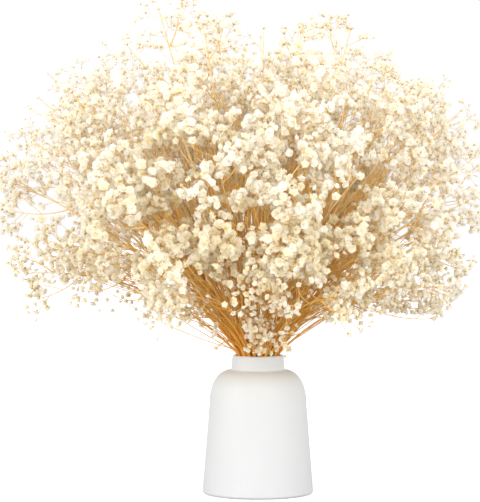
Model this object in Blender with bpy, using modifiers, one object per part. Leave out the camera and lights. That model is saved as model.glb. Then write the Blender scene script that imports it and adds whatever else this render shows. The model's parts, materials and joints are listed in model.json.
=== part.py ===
"""A matt white ceramic vase filled with a full bunch of dried gypsophila.

Units are metres, with +Z up. The origin is the centre of the vase's foot, on the surface it stands on.
The vase is one turned shell. Each flowering stem is one body: a thin stem that stands on the vase's
inner floor, leans out of the mouth, and forks into branches and stalks that each end in a floret.
"""

import math
import random

import bmesh
import bpy
import numpy as np
from mathutils import Matrix, Vector

# Vase
VASE_HEIGHT = 0.139
FOOT_RADIUS = 0.0553
FOOT_ROUND = 0.003
SHOULDER_RADIUS = 0.0485
SHOULDER_BOTTOM = 0.090
SHOULDER_TOP = 0.124
NECK_BASE_RADIUS = 0.0264
NECK_TOP_RADIUS = 0.0256
NECK_CREASE = 0.0012
SHOULDER_SWEEP = math.radians(84)
WALL = 0.004
FLOOR = 0.006
INNER_CORNER = (0.007, 0.008)
TURN_STEPS = 36
SHOULDER_POINTS = 6
INNER_SHOULDER_POINTS = 3
LIP_POINTS = 4
FOOT_POINTS = 2

# The bunch: rings of stems, from the middle outwards
# (lean from upright in degrees, stems in the ring, turn of the ring in degrees, share of the full reach)
RINGS = (
    (1, 1, 0, 1.0),
    (16, 6, 0, 1.0),
    (37, 8, 22, 1.0),
    (55, 8, 11, 1.0),
    (71, 6, 0, 1.0),
    (46, 4, 37, 0.62),
)
WIDEST_LEAN = 71
# Reach from the mouth to the outermost florets, by lean, on the left and on the right
REACH_LEANS = (0, 15, 30, 45, 57, 66, 75)
REACH_LEFT = (0.335, 0.368, 0.352, 0.342, 0.310, 0.286, 0.236)
REACH_RIGHT = (0.335, 0.352, 0.336, 0.316, 0.264, 0.242, 0.196)
DEPTH_SHARE = 0.88
REACH_SPREAD = 0.03
BEARING_SPREAD = 6
SEED = 11

# Stems
MOUTH_SPREAD = 0.0150
# Under 1, so that the middle stems stand further apart than an even spread would give
MOUTH_EASE = 0.85
BEND_HEIGHT = 0.1345
FLOOR_SPREAD = 1.5
STAND_GAP = 0.0003
OUTER_BEND = 0.40
STEM_RADII = (0.0014, 0.0011)
STEM_STRETCHES = 7

# Branches and stalks
BRANCH_SHARES = (0.50, 0.64, 0.77, 0.89)
STALKS_ON_BRANCH = (2, 2, 2, 1)
STALK_SHARES = (0.48, 0.78)
BRANCH_OPENING = math.radians(44)
STALK_OPENING = math.radians(48)
# At the root, which sinks wholly into what it grows from, then along the line to its floret
BRANCH_RADII = (0.00052, 0.00080, 0.00060)
STALK_RADII = (0.00034, 0.00045)
BRANCH_REACH = 0.60
BRANCH_LEAST = 0.016
BRANCH_SPREAD = 0.15
BRANCH_BEND = 0.7
STALK_LENGTH = (0.020, 0.032)
LOWEST_FLORET = 0.165
GOLDEN_TURN = math.radians(137.5)
TRIES = 24
CLEARANCE = 0.0007

# Florets
FLORET_RADIUS = 0.0045
PETALS = 5
# Distance from the floret's axis and height along it, as shares of its radius
PETAL_TIP = (1.0, 0.30)
PETAL_NOTCH = (0.60, 0.05)
CROWN_LIFT = 0.75
FLAT = math.radians(1)


def linear(hex_colour):
    """Scene-linear RGBA of an sRGB hex colour."""
    parts = [int(hex_colour[i : i + 2], 16) / 255 for i in (1, 3, 5)]
    return [((c + 0.055) / 1.055) ** 2.4 if c > 0.04045 else c / 12.92 for c in parts] + [1.0]


def material(name, hex_colour, roughness):
    made = bpy.data.materials.new(name)
    made.use_nodes = True
    shader = made.node_tree.nodes["Principled BSDF"]
    shader.inputs["Base Color"].default_value = linear(hex_colour)
    shader.inputs["Roughness"].default_value = roughness
    shader.inputs["Metallic"].default_value = 0.0
    return made


def clear_scene():
    for obj in list(bpy.data.objects):
        bpy.data.objects.remove(obj)


# The vase


def arc(centre, radii, start, end, steps):
    """Points of an elliptical arc, both ends included."""
    angles = [start + (end - start) * step / steps for step in range(steps + 1)]
    return [(centre[0] + radii[0] * math.cos(a), centre[1] + radii[1] * math.sin(a)) for a in angles]


def vase_profile():
    """Radius and height from the inner floor's centre, up the inside, over the lip and down to the foot."""
    inner_foot = FOOT_RADIUS - WALL
    inner_neck = NECK_TOP_RADIUS - WALL
    points = [(0.0, FLOOR), (inner_foot - INNER_CORNER[0], FLOOR), (inner_foot, FLOOR + INNER_CORNER[1])]
    inner_shoulder = (SHOULDER_RADIUS - WALL - inner_neck, SHOULDER_TOP - WALL - SHOULDER_BOTTOM)
    points += arc((inner_neck, SHOULDER_BOTTOM), inner_shoulder, 0, math.radians(90), INNER_SHOULDER_POINTS)
    lip = (WALL / 2, WALL / 2)
    lip_centre = (NECK_TOP_RADIUS - WALL / 2, VASE_HEIGHT - WALL / 2)
    points += arc(lip_centre, lip, math.radians(180), 0, LIP_POINTS)
    points.append((NECK_BASE_RADIUS, SHOULDER_TOP + NECK_CREASE))
    shoulder = (SHOULDER_RADIUS - NECK_BASE_RADIUS, SHOULDER_TOP - SHOULDER_BOTTOM)
    points += arc((NECK_BASE_RADIUS, SHOULDER_BOTTOM), shoulder, SHOULDER_SWEEP, 0, SHOULDER_POINTS)
    foot = (FOOT_ROUND, FOOT_ROUND)
    points += arc((FOOT_RADIUS - FOOT_ROUND, FOOT_ROUND), foot, 0, math.radians(-90), FOOT_POINTS)
    points.append((0.0, 0.0))
    return points


def build_vase(finish, collection):
    profile = bpy.data.meshes.new("vase")
    points = vase_profile()
    edges = [(i, i + 1) for i in range(len(points) - 1)]
    profile.from_pydata([(radius, 0.0, height) for radius, height in points], edges, [])
    vase = bpy.data.objects.new("vase", profile)
    collection.objects.link(vase)
    turn = vase.modifiers.new("turn", "SCREW")
    turn.axis = "Z"
    turn.steps = TURN_STEPS
    turn.render_steps = TURN_STEPS
    turn.use_merge_vertices = True
    turn.merge_threshold = 0.00001
    profile.materials.append(finish)


# How the bunch grows


def gaps(start, end, starts, ends):
    """Least distance from one straight stretch to each of many others."""
    run, runs, offset = end - start, ends - starts, start - starts
    own = max(run @ run, 1e-18)
    cross = runs @ run
    others = np.maximum((runs * runs).sum(1), 1e-18)
    on_own, on_others = offset @ run, (runs * offset).sum(1)
    spread = np.maximum(own * others - cross * cross, 1e-18)
    s = np.clip((cross * on_others - others * on_own) / spread, 0, 1)
    t = np.clip((cross * s + on_others) / others, 0, 1)
    s = np.clip((cross * t - on_own) / own, 0, 1)
    return np.linalg.norm(offset + np.outer(s, run) - runs * t[:, None], axis=1)


class Space:
    """The straight stretches already taken, so that each spray is bent clear of the others."""

    def __init__(self):
        self.stretches = []

    def take(self, owner, points, radius):
        for start, end in zip(points, points[1:]):
            self.stretches.append((*start, *end, radius, owner))

    def is_clear(self, owner, points, radius):
        taken = np.array([row for row in self.stretches if row[7] != owner])
        if not len(taken):
            return True
        for start, end in zip(points, points[1:]):
            free = gaps(np.array(start), np.array(end), taken[:, 0:3], taken[:, 3:6]) - taken[:, 6] - radius
            if free.min() < CLEARANCE:
                return False
        return True


def heading(lean, azimuth):
    return Vector((math.sin(lean) * math.cos(azimuth), math.sin(lean) * math.sin(azimuth), math.cos(lean)))


def full_reach(lean, azimuth):
    """How far the bunch reaches from the mouth, wider to the left than to the right, and less in depth."""
    degrees = math.degrees(lean)
    left = np.interp(degrees, REACH_LEANS, REACH_LEFT)
    right = np.interp(degrees, REACH_LEANS, REACH_RIGHT)
    side = 0.5 + 0.5 * math.cos(azimuth)
    depth = 1 - (1 - DEPTH_SHARE) * math.sin(azimuth) ** 2 * math.sin(lean)
    return float(left + (right - left) * side) * depth


def stem_points(lean, azimuth, reach):
    """From the inner floor, up through the mouth, and out on one arc to the topmost floret."""
    share = lean / math.radians(WIDEST_LEAN)
    out = Vector((math.cos(azimuth), math.sin(azimuth), 0.0)) * MOUTH_SPREAD * share**MOUTH_EASE
    foot = out * FLOOR_SPREAD + Vector((0, 0, FLOOR + STAND_GAP))
    bend = out + Vector((0, 0, BEND_HEIGHT))
    tip = Vector((0, 0, VASE_HEIGHT)) + heading(lean, azimuth) * (reach - FLORET_RADIUS)
    pull = bend + heading(lean * (1 - OUTER_BEND * share), azimuth) * (reach / 2)
    points = [foot]
    for step in range(STEM_STRETCHES + 1):
        t = step / STEM_STRETCHES
        points.append(bend * (1 - t) ** 2 + pull * (2 * t * (1 - t)) + tip * t**2)
    return points


def along(points, share):
    """Place and direction at a share of a line's length."""
    lengths = [(b - a).length for a, b in zip(points, points[1:])]
    left = share * sum(lengths)
    for (start, end), length in zip(zip(points, points[1:]), lengths):
        if left <= length:
            break
        left -= length
    return start.lerp(end, min(left / length, 1.0)), (end - start).normalized()


def fork(direction, opening, turn):
    """A direction that opens from another by an angle, turned about it."""
    side = direction.orthogonal().normalized()
    side.rotate(Matrix.Rotation(turn, 3, direction))
    return direction * math.cos(opening) + side * math.sin(opening)


def has_room(spray, space, line, radius):
    """Whether a line and the floret at its end keep clear of the other sprays and hang high enough."""
    end = line[-1]
    if end.z < LOWEST_FLORET:
        return False
    floret_fits = space.is_clear(spray["owner"], [end, end], FLORET_RADIUS)
    return floret_fits and space.is_clear(spray["owner"], line, radius)


def take_line(spray, space, line, radius):
    space.take(spray["owner"], line, radius)
    space.take(spray["owner"], [line[-1]] * 2, FLORET_RADIUS)


def grow_stem(owner, space, rng, lean, bearing, share):
    """The reach and line of a stem, its bearing drawn until it stands clear of those before it."""
    for attempt in range(TRIES):
        azimuth = math.radians(bearing + rng.uniform(-BEARING_SPREAD, BEARING_SPREAD))
        reach = full_reach(lean, azimuth) * share * rng.uniform(1 - REACH_SPREAD, 1)
        stem = stem_points(lean, azimuth, reach)
        if space.is_clear(owner, stem, STEM_RADII[0]):
            break
    return reach, stem


def grow_branch(spray, space, rng, share, turn):
    """One branch that opens from the stem and curves back along it, or None where there is no room."""
    root, direction = along(spray["stem"][1:], share)
    spread = rng.uniform(1 - BRANCH_SPREAD, 1 + BRANCH_SPREAD)
    length = BRANCH_LEAST + BRANCH_REACH * (1 - share) * spray["reach"] * spread
    for attempt in range(TRIES):
        first = fork(direction, BRANCH_OPENING, turn + attempt * GOLDEN_TURN)
        middle = root + first * (length / 2)
        branch = [root, middle, middle + (first + direction * BRANCH_BEND).normalized() * (length / 2)]
        if has_room(spray, space, branch, max(BRANCH_RADII)):
            return branch
    return None


def grow_stalk(spray, space, rng, branch, share, turn):
    """One straight stalk with room for the floret at its end, or None."""
    root, direction = along(branch, share)
    length = rng.uniform(*STALK_LENGTH)
    for attempt in range(TRIES):
        stalk = [root, root + fork(direction, STALK_OPENING, turn + attempt * GOLDEN_TURN) * length]
        if has_room(spray, space, stalk, max(STALK_RADII)):
            return stalk
    return None


def grow_bunch():
    """Every spray as its stem, branches and stalks, each a list of points that ends in a floret."""
    rng = random.Random(SEED)
    space = Space()
    sprays = []
    for lean, count, turned, share in RINGS:
        for place in range(count):
            owner, bearing = len(sprays), turned + 360 * place / count
            reach, stem = grow_stem(owner, space, rng, math.radians(lean), bearing, share)
            spray = {"owner": owner, "reach": reach, "stem": stem, "branches": [], "stalks": []}
            take_line(spray, space, spray["stem"], STEM_RADII[0])
            sprays.append(spray)
    for level, share in enumerate(BRANCH_SHARES):
        for spray in sprays:
            branch = grow_branch(spray, space, rng, share, spray["owner"] + level * GOLDEN_TURN)
            if branch:
                take_line(spray, space, branch, max(BRANCH_RADII))
                spray["branches"].append((level, branch))
    for side, share in enumerate(STALK_SHARES):
        for spray in sprays:
            for level, branch in spray["branches"]:
                if side < STALKS_ON_BRANCH[level]:
                    turn = spray["owner"] + level + side * math.pi
                    stalk = grow_stalk(spray, space, rng, branch, share, turn)
                    if stalk:
                        take_line(spray, space, stalk, max(STALK_RADII))
                        spray["stalks"].append(stalk)
    return sprays


# Solids of a spray


def bare_tube(points, radii, outline, collection):
    """A three-sided tube along the points, with a radius at each and open at both ends, as a mesh."""
    curve = bpy.data.curves.new("tube", "CURVE")
    curve.dimensions = "3D"
    curve.bevel_mode = "OBJECT"
    curve.bevel_object = outline
    line = curve.splines.new("POLY")
    line.points.add(len(points) - 1)
    for knot, point, radius in zip(line.points, points, radii):
        knot.co = (*point, 1.0)
        knot.radius = radius
    guide = bpy.data.objects.new("guide", curve)
    collection.objects.link(guide)
    bpy.context.view_layer.update()
    evaluated = guide.evaluated_get(bpy.context.evaluated_depsgraph_get())
    mesh = bpy.data.meshes.new_from_object(evaluated)
    bpy.data.objects.remove(guide)
    return mesh


def tube_outline(collection):
    """The triangle that every stem, branch and stalk is drawn along its line with."""
    curve = bpy.data.curves.new("tube_outline", "CURVE")
    line = curve.splines.new("POLY")
    line.points.add(2)
    for place in range(3):
        angle = math.radians(90 + 120 * place)
        line.points[place].co = (math.cos(angle), math.sin(angle), 0.0, 1.0)
    line.use_cyclic_u = True
    outline = bpy.data.objects.new("tube_outline", curve)
    outline.hide_render = True
    outline.display_type = "WIRE"
    collection.objects.link(outline)
    return outline


def flowering_line(points, radii, outline, collection):
    """A stem, branch or stalk that widens at its end into a floret with five petals, as one closed mesh."""
    mesh = bare_tube(points, radii, outline, collection)
    work = bmesh.new()
    work.from_mesh(mesh)
    rings = [edge for edge in work.edges if edge.is_boundary]
    end_ring = [edge for edge in rings if (edge.verts[0].co - points[-1]).length < FLORET_RADIUS]
    root_ring = [edge for edge in rings if edge not in end_ring]
    facing = (points[-1] - points[-2]).to_track_quat("Z", "X").to_matrix().to_4x4()
    placed = Matrix.Translation(points[-1]) @ facing
    circle = bmesh.ops.create_circle(work, cap_ends=True, cap_tris=True, segments=2 * PETALS, radius=1.0)
    crown = min(circle["verts"], key=lambda vertex: vertex.co.length)
    for vertex in circle["verts"]:
        angle = math.atan2(vertex.co.y, vertex.co.x)
        on_petal = round(angle / (math.pi / PETALS)) % 2 == 0
        reach, lift = PETAL_TIP if on_petal else PETAL_NOTCH
        shaped = Vector((reach * math.cos(angle), reach * math.sin(angle), lift))
        if vertex is crown:
            shaped = Vector((0, 0, CROWN_LIFT))
        vertex.co = placed @ (shaped * FLORET_RADIUS)
    rim_edges = [edge for edge in work.edges if edge.is_boundary and edge.verts[0] in circle["verts"]]
    bmesh.ops.bridge_loops(work, edges=end_ring + rim_edges)
    bmesh.ops.contextual_create(work, geom=root_ring)
    bmesh.ops.recalc_face_normals(work, faces=work.faces)
    work.to_mesh(mesh)
    work.free()
    return mesh


def join_flat_faces(mesh):
    """Takes out the edges that a union leaves across flat faces."""
    work = bmesh.new()
    work.from_mesh(mesh)
    bmesh.ops.dissolve_limit(work, angle_limit=FLAT, verts=work.verts, edges=work.edges)
    bmesh.ops.triangulate(work, faces=work.faces)
    work.to_mesh(mesh)
    work.free()


def build_spray(spray, finish, outline, collection):
    """Unites the stem with its branches and stalks, each with its floret, into one body."""
    name = f"spray_{spray['owner'] + 1:02d}"
    pieces = bpy.data.collections.new(name + "_pieces")
    bpy.context.scene.collection.children.link(pieces)
    lines = [(branch, BRANCH_RADII) for _, branch in spray["branches"]]
    lines += [(stalk, STALK_RADII) for stalk in spray["stalks"]]
    for points, radii in lines:
        pieces.objects.link(bpy.data.objects.new("piece", flowering_line(points, radii, outline, pieces)))
    stem_radii = np.linspace(*STEM_RADII, len(spray["stem"]))
    stem = bpy.data.objects.new("stem", flowering_line(spray["stem"], stem_radii, outline, pieces))
    collection.objects.link(stem)
    union = stem.modifiers.new("union", "BOOLEAN")
    union.operation = "UNION"
    union.solver = "MANIFOLD"
    union.operand_type = "COLLECTION"
    union.collection = pieces
    bpy.context.view_layer.update()
    evaluated = stem.evaluated_get(bpy.context.evaluated_depsgraph_get())
    mesh = bpy.data.meshes.new_from_object(evaluated)
    for obj in [stem, *pieces.objects]:
        bpy.data.objects.remove(obj)
    bpy.data.collections.remove(pieces)
    join_flat_faces(mesh)
    mesh.materials.clear()
    mesh.materials.append(finish)
    collection.objects.link(bpy.data.objects.new(name, mesh))


def main():
    clear_scene()
    arrangement = bpy.data.collections.new("gypsophila_vase")
    helpers = bpy.data.collections.new("helpers")
    for collection in (arrangement, helpers):
        bpy.context.scene.collection.children.link(collection)
    build_vase(material("matt_white_ceramic", "#F1F0EC", 0.6), arrangement)
    dried = material("dried_gypsophila", "#EBD3A0", 0.85)
    outline = tube_outline(helpers)
    for spray in grow_bunch():
        build_spray(spray, dried, outline, arrangement)


main()
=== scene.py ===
"""The finish of a matt white ceramic vase that holds a full bunch of dried gypsophila.

Units are metres, with +Z up. The origin is the centre of the vase's foot, on the surface it stands on.
The camera looks along +Y, so the photograph's left is -X. Each flowering stem of the frame is dressed
with its finer branches, stalks and double florets, and shorter sprays fill the bunch between them.
"""

import json
import math
import random

import bmesh
import bpy
import numpy as np
from mathutils import Matrix, Vector, noise

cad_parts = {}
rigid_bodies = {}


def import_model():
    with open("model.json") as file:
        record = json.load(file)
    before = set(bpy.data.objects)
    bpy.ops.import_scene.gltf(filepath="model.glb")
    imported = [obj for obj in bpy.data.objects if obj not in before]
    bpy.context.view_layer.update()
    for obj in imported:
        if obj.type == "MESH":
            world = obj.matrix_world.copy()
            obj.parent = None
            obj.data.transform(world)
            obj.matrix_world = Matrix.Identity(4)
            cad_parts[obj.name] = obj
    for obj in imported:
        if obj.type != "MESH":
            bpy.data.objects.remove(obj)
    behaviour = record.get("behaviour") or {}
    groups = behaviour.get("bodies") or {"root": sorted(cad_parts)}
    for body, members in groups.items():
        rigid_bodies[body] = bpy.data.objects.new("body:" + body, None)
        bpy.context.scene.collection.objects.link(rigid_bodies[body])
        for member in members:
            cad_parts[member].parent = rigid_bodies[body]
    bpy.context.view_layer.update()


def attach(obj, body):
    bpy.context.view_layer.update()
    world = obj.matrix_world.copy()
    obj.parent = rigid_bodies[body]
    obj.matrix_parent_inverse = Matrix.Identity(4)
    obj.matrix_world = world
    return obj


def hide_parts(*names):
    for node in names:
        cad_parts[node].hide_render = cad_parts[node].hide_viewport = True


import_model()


# Camera, light and floor
# The vase stands on a plain white sweep in soft light from all round: a broad key and two low fills. A spot,
# a fill and a back light are kept off the vase, as with flags, and open up the shade inside the bunch. The
# camera stands nearly three metres away, a little above the vase's rim.

CAMERA_DISTANCE = 2.9
CAMERA_HEIGHT = 0.377
AIM = Vector((-0.018, 0, 0.243))
FRAMED_HEIGHT = 0.502
SENSOR_HEIGHT = 36
FLOOR_SIZE = 12
SWEEP_HEX = "#C4C4C4"
SWEEP_SEEN = 0.65
SWEEP_ROUGHNESS = 0.9
SKY_HEX = "#FFFFFF"
SKY_SEEN = 1.0
ZENITH_LIGHT = 0.62
HORIZON_LIGHT = 0.90
# Each light's strength, the breadth of its source, where it comes from, and whether it is kept off the vase
LIGHTS = {
    "key_light": (1.22, math.radians(110), Vector((-0.40, -1.4, 1.05)), False),
    "left_fill": (1.4, math.radians(50), Vector((-1.7, -1.1, 0.30)), False),
    "right_fill": (1.25, math.radians(50), Vector((1.5, -1.1, 0.30)), False),
    "bunch_fill": (1.35, math.radians(140), Vector((0.1, -1.5, 0.35)), True),
    "bunch_back": (0.6, math.radians(150), Vector((0.3, 1.3, 0.7)), True),
}
SPOT_PLACE = Vector((-0.25, -1.6, 0.50))
SPOT_AIM = Vector((0, 0, 0.25))
SPOT_WATTS = 135
SPOT_CONE = math.radians(28)
SPOT_RADIUS = 0.60
SPOT_BLEND = 1.0


def linear(hex_colour):
    """Scene-linear RGBA of an sRGB hex colour."""
    parts = [int(hex_colour[i : i + 2], 16) / 255 for i in (1, 3, 5)]
    return [((c + 0.055) / 1.055) ** 2.4 if c > 0.04045 else c / 12.92 for c in parts] + [1.0]


def add(tree, kind, inputs=None, **settings):
    """Adds a node with its settings. Each input is given a value, a socket to link, or a node to link."""
    node = tree.nodes.new(kind)
    for name, value in settings.items():
        setattr(node, name, value)
    for name, value in (inputs or {}).items():
        socket = [s for s in node.inputs if s.name == name and s.enabled][0]
        if isinstance(value, bpy.types.Node):
            value = [s for s in value.outputs if s.enabled][0]
        if isinstance(value, bpy.types.NodeSocket):
            tree.links.new(value, socket)
        else:
            socket.default_value = value
    return node


def finish(name):
    """A new material with an empty node tree."""
    made = bpy.data.materials.new(name)
    made.use_nodes = True
    made.node_tree.nodes.clear()
    return made, made.node_tree


def stand_object(name, mesh):
    made = bpy.data.objects.new(name, mesh)
    bpy.context.scene.collection.objects.link(made)
    return made


camera = stand_object("camera", bpy.data.cameras.new("camera"))
camera.location = (AIM.x, -CAMERA_DISTANCE, CAMERA_HEIGHT)
camera.rotation_euler = (AIM - camera.location).to_track_quat("-Z", "Y").to_euler()
camera.data.sensor_fit = "VERTICAL"
camera.data.sensor_height = SENSOR_HEIGHT
camera.data.lens = SENSOR_HEIGHT * (AIM - camera.location).length / FRAMED_HEIGHT
bpy.context.scene.camera = camera
bpy.context.scene.view_settings.view_transform = "Standard"

bunch_lit = bpy.data.collections.new("bunch_lit")
for name, (energy, breadth, source, off_vase) in LIGHTS.items():
    light = stand_object(name, bpy.data.lights.new(name, "SUN"))
    light.rotation_euler = source.to_track_quat("Z", "Y").to_euler()
    light.data.energy = energy
    light.data.angle = breadth
    if off_vase:
        light.light_linking.receiver_collection = bunch_lit

spot = stand_object("bunch_spot", bpy.data.lights.new("bunch_spot", "SPOT"))
spot.location = SPOT_PLACE
spot.rotation_euler = (SPOT_PLACE - SPOT_AIM).to_track_quat("Z", "Y").to_euler()
spot.data.energy = SPOT_WATTS
spot.data.spot_size = SPOT_CONE
spot.data.spot_blend = SPOT_BLEND
spot.data.shadow_soft_size = SPOT_RADIUS
spot.light_linking.receiver_collection = bunch_lit

sky = bpy.data.worlds.new("white_sweep")
sky.use_nodes = True
sky_tree = sky.node_tree
sky_tree.nodes.clear()
seen = add(sky_tree, "ShaderNodeLightPath")
sky_way = add(sky_tree, "ShaderNodeTexCoord")
sky_height = add(sky_tree, "ShaderNodeSeparateXYZ", {"Vector": sky_way.outputs["Generated"]})
sky_light = add(
    sky_tree,
    "ShaderNodeMapRange",
    {"Value": sky_height.outputs["Z"], "To Min": HORIZON_LIGHT, "To Max": ZENITH_LIGHT},
)
strength = add(
    sky_tree,
    "ShaderNodeMix",
    {"Factor": seen.outputs["Is Camera Ray"], "A": sky_light, "B": SKY_SEEN},
    data_type="FLOAT",
)
sky_glow = add(sky_tree, "ShaderNodeBackground", {"Color": linear(SKY_HEX), "Strength": strength})
add(sky_tree, "ShaderNodeOutputWorld", {"Surface": sky_glow})
bpy.context.scene.world = sky

# A painted sweep: flat white emulsion, which scatters light evenly and shows no gloss. It is seen brighter
# than it lights the vase, so that the picture's white stays clean.
sweep_finish, sweep_tree = finish("white_emulsion")
sweep_seen = add(sweep_tree, "ShaderNodeLightPath")
sweep_glow = add(
    sweep_tree,
    "ShaderNodeMath",
    {"Value": sweep_seen.outputs["Is Camera Ray"]},
    operation="MULTIPLY",
)
sweep_glow.inputs[1].default_value = SWEEP_SEEN
sweep = add(
    sweep_tree,
    "ShaderNodeBsdfPrincipled",
    {
        "Base Color": linear(SWEEP_HEX),
        "Roughness": SWEEP_ROUGHNESS,
        "Emission Color": linear(SKY_HEX),
        "Emission Strength": sweep_glow,
    },
)
add(sweep_tree, "ShaderNodeOutputMaterial", {"Surface": sweep})

floor_mesh = bpy.data.meshes.new("floor")
floor_work = bmesh.new()
bmesh.ops.create_grid(floor_work, x_segments=1, y_segments=1, size=FLOOR_SIZE / 2)
floor_work.to_mesh(floor_mesh)
floor_work.free()
floor_mesh.materials.append(sweep_finish)
floor = stand_object("floor", floor_mesh)


# The vase
# One turned stoneware bottle with a flat foot, a body that tapers up to a full round shoulder, and a short
# straight neck with a soft lip. It is thrown, then coated inside and out with a matt white glaze.

VASE_HEIGHT = 0.139
FOOT_RADIUS = 0.0553
FOOT_ROUND = 0.003
SHOULDER_RADIUS = 0.0485
SHOULDER_BOTTOM = 0.090
SHOULDER_TOP = 0.124
SHOULDER_FULLNESS = 2.2
NECK_BASE_RADIUS = 0.0264
NECK_TOP_RADIUS = 0.0256
CREASE_RADIUS = 0.0016
WALL = 0.004
INNER_FLOOR = 0.006
INNER_CORNER = (0.007, 0.008)
TURN_STEPS = 144
MERGE_DISTANCE = 0.00001
GLAZE_HEX = ("#E0E2E2", "#DCDEDF")
# The real grain is about 0.2 mm, too fine to show. It is drawn at 0.8 mm, and the cloudiness at 30 mm.
GRAIN_MM = 0.8
GRAIN_STRENGTH = 0.25
GRAIN_DEPTH = 0.0001
CLOUD_MM = 30
GLAZE_ROUGHNESS = (0.46, 0.58)
GLAZE_IOR = 1.5


def arc(centre, radii, start, end, steps, fullness=2.0):
    """Points of an elliptical arc, both ends included. A fullness over 2 squares its corner a little."""
    power = 2 / fullness
    points = []
    for step in range(steps + 1):
        angle = math.radians(start + (end - start) * step / steps)
        across, up = math.cos(angle), math.sin(angle)
        across = math.copysign(abs(across) ** power, across)
        up = math.copysign(abs(up) ** power, up)
        points.append((centre[0] + radii[0] * across, centre[1] + radii[1] * up))
    return points


def lumps(tree, size_mm, **texture):
    """Noise with lumps of a real size, fixed to the piece."""
    place = add(tree, "ShaderNodeTexCoord").outputs["Object"]
    return add(tree, "ShaderNodeTexNoise", {"Vector": place, "Scale": 1000 / size_mm, **texture})


def bumpy_skin(tree, size_mm, strength, depth, **texture):
    height = lumps(tree, size_mm, **texture)
    return add(tree, "ShaderNodeBump", {"Height": height, "Strength": strength, "Distance": depth})


# The outline, from the middle of the inner floor, over the lip, to the middle of the foot. Each arc has its
# centre, its radii, its first and last angle in degrees, and its steps.
inner_foot = FOOT_RADIUS - WALL
inner_neck = NECK_TOP_RADIUS - WALL
inner_shoulder = (SHOULDER_RADIUS - WALL - inner_neck, SHOULDER_TOP - WALL - SHOULDER_BOTTOM)
lip_centre = (NECK_TOP_RADIUS - WALL / 2, VASE_HEIGHT - WALL / 2)
crease_centre = (NECK_BASE_RADIUS + CREASE_RADIUS, SHOULDER_TOP + CREASE_RADIUS)
shoulder = (SHOULDER_RADIUS - NECK_BASE_RADIUS, SHOULDER_TOP - SHOULDER_BOTTOM)
vase_outline = [(0, INNER_FLOOR), (inner_foot - INNER_CORNER[0], INNER_FLOOR)]
vase_outline += arc((inner_foot - INNER_CORNER[0], INNER_FLOOR + INNER_CORNER[1]), INNER_CORNER, -75, 0, 5)
vase_outline += arc((inner_neck, SHOULDER_BOTTOM), inner_shoulder, 0, 90, 12)
vase_outline += arc(lip_centre, (WALL / 2, WALL / 2), 180, 0, 12)
vase_outline += arc(crease_centre, (CREASE_RADIUS, CREASE_RADIUS), 180, 255, 5)
vase_outline += arc((NECK_BASE_RADIUS, SHOULDER_BOTTOM), shoulder, 80, 0, 24, SHOULDER_FULLNESS)
vase_outline += arc((FOOT_RADIUS - FOOT_ROUND, FOOT_ROUND), (FOOT_ROUND, FOOT_ROUND), 0, -90, 6)
vase_outline.append((0, 0))

outline_mesh = bpy.data.meshes.new("vase_outline")
outline_edges = [(i, i + 1) for i in range(len(vase_outline) - 1)]
outline_mesh.from_pydata([(radius, 0, height) for radius, height in vase_outline], outline_edges, [])
thrown = stand_object("thrown", outline_mesh)
turn = thrown.modifiers.new("turn", "SCREW")
turn.steps = TURN_STEPS
turn.render_steps = TURN_STEPS
turn.use_merge_vertices = True
turn.merge_threshold = MERGE_DISTANCE
vase_mesh = bpy.data.meshes.new_from_object(thrown.evaluated_get(bpy.context.evaluated_depsgraph_get()))
bpy.data.objects.remove(thrown)
vase_work = bmesh.new()
vase_work.from_mesh(vase_mesh)
bmesh.ops.recalc_face_normals(vase_work, faces=vase_work.faces)
vase_work.to_mesh(vase_mesh)
vase_work.free()
vase_mesh.shade_smooth()

# Matt glaze on stoneware: a dielectric with a rough skin, so its sheen is broad and soft.
glaze_finish, glaze_tree = finish("matt_white_glaze")
cloud = lumps(glaze_tree, CLOUD_MM, Detail=2)
glaze_colour = add(
    glaze_tree,
    "ShaderNodeMix",
    {"Factor": cloud, "A": linear(GLAZE_HEX[0]), "B": linear(GLAZE_HEX[1])},
    data_type="RGBA",
)
glaze_sheen = add(
    glaze_tree,
    "ShaderNodeMapRange",
    {"Value": cloud, "To Min": GLAZE_ROUGHNESS[0], "To Max": GLAZE_ROUGHNESS[1]},
)
glaze_skin = bumpy_skin(glaze_tree, GRAIN_MM, GRAIN_STRENGTH, GRAIN_DEPTH, Detail=3, Roughness=0.6)
glaze = add(
    glaze_tree,
    "ShaderNodeBsdfPrincipled",
    {"Base Color": glaze_colour, "Roughness": glaze_sheen, "Normal": glaze_skin, "IOR": GLAZE_IOR},
)
add(glaze_tree, "ShaderNodeOutputMaterial", {"Surface": glaze})

vase_mesh.materials.append(glaze_finish)
vase = stand_object("turned_vase", vase_mesh)
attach(vase, "root")
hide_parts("vase")


# The long flowering stems
# Each is one dried stem of gypsophila, cut to stand on the vase's floor and spread by its neck. It forks
# again and again into finer branches and hair-thin stalks, and every one of them ends in a floret. The stem,
# the branches and the longest stalks lie where the frame has them.

# Rings of stems, in degrees: lean from upright, stems in the ring, its turn, and share of the full reach
RINGS = (
    (1, 1, 0, 1.0),
    (16, 6, 0, 1.0),
    (37, 8, 22, 1.0),
    (55, 8, 11, 1.0),
    (71, 6, 0, 1.0),
    (46, 4, 37, 0.62),
)
WIDEST_LEAN = 71
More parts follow.
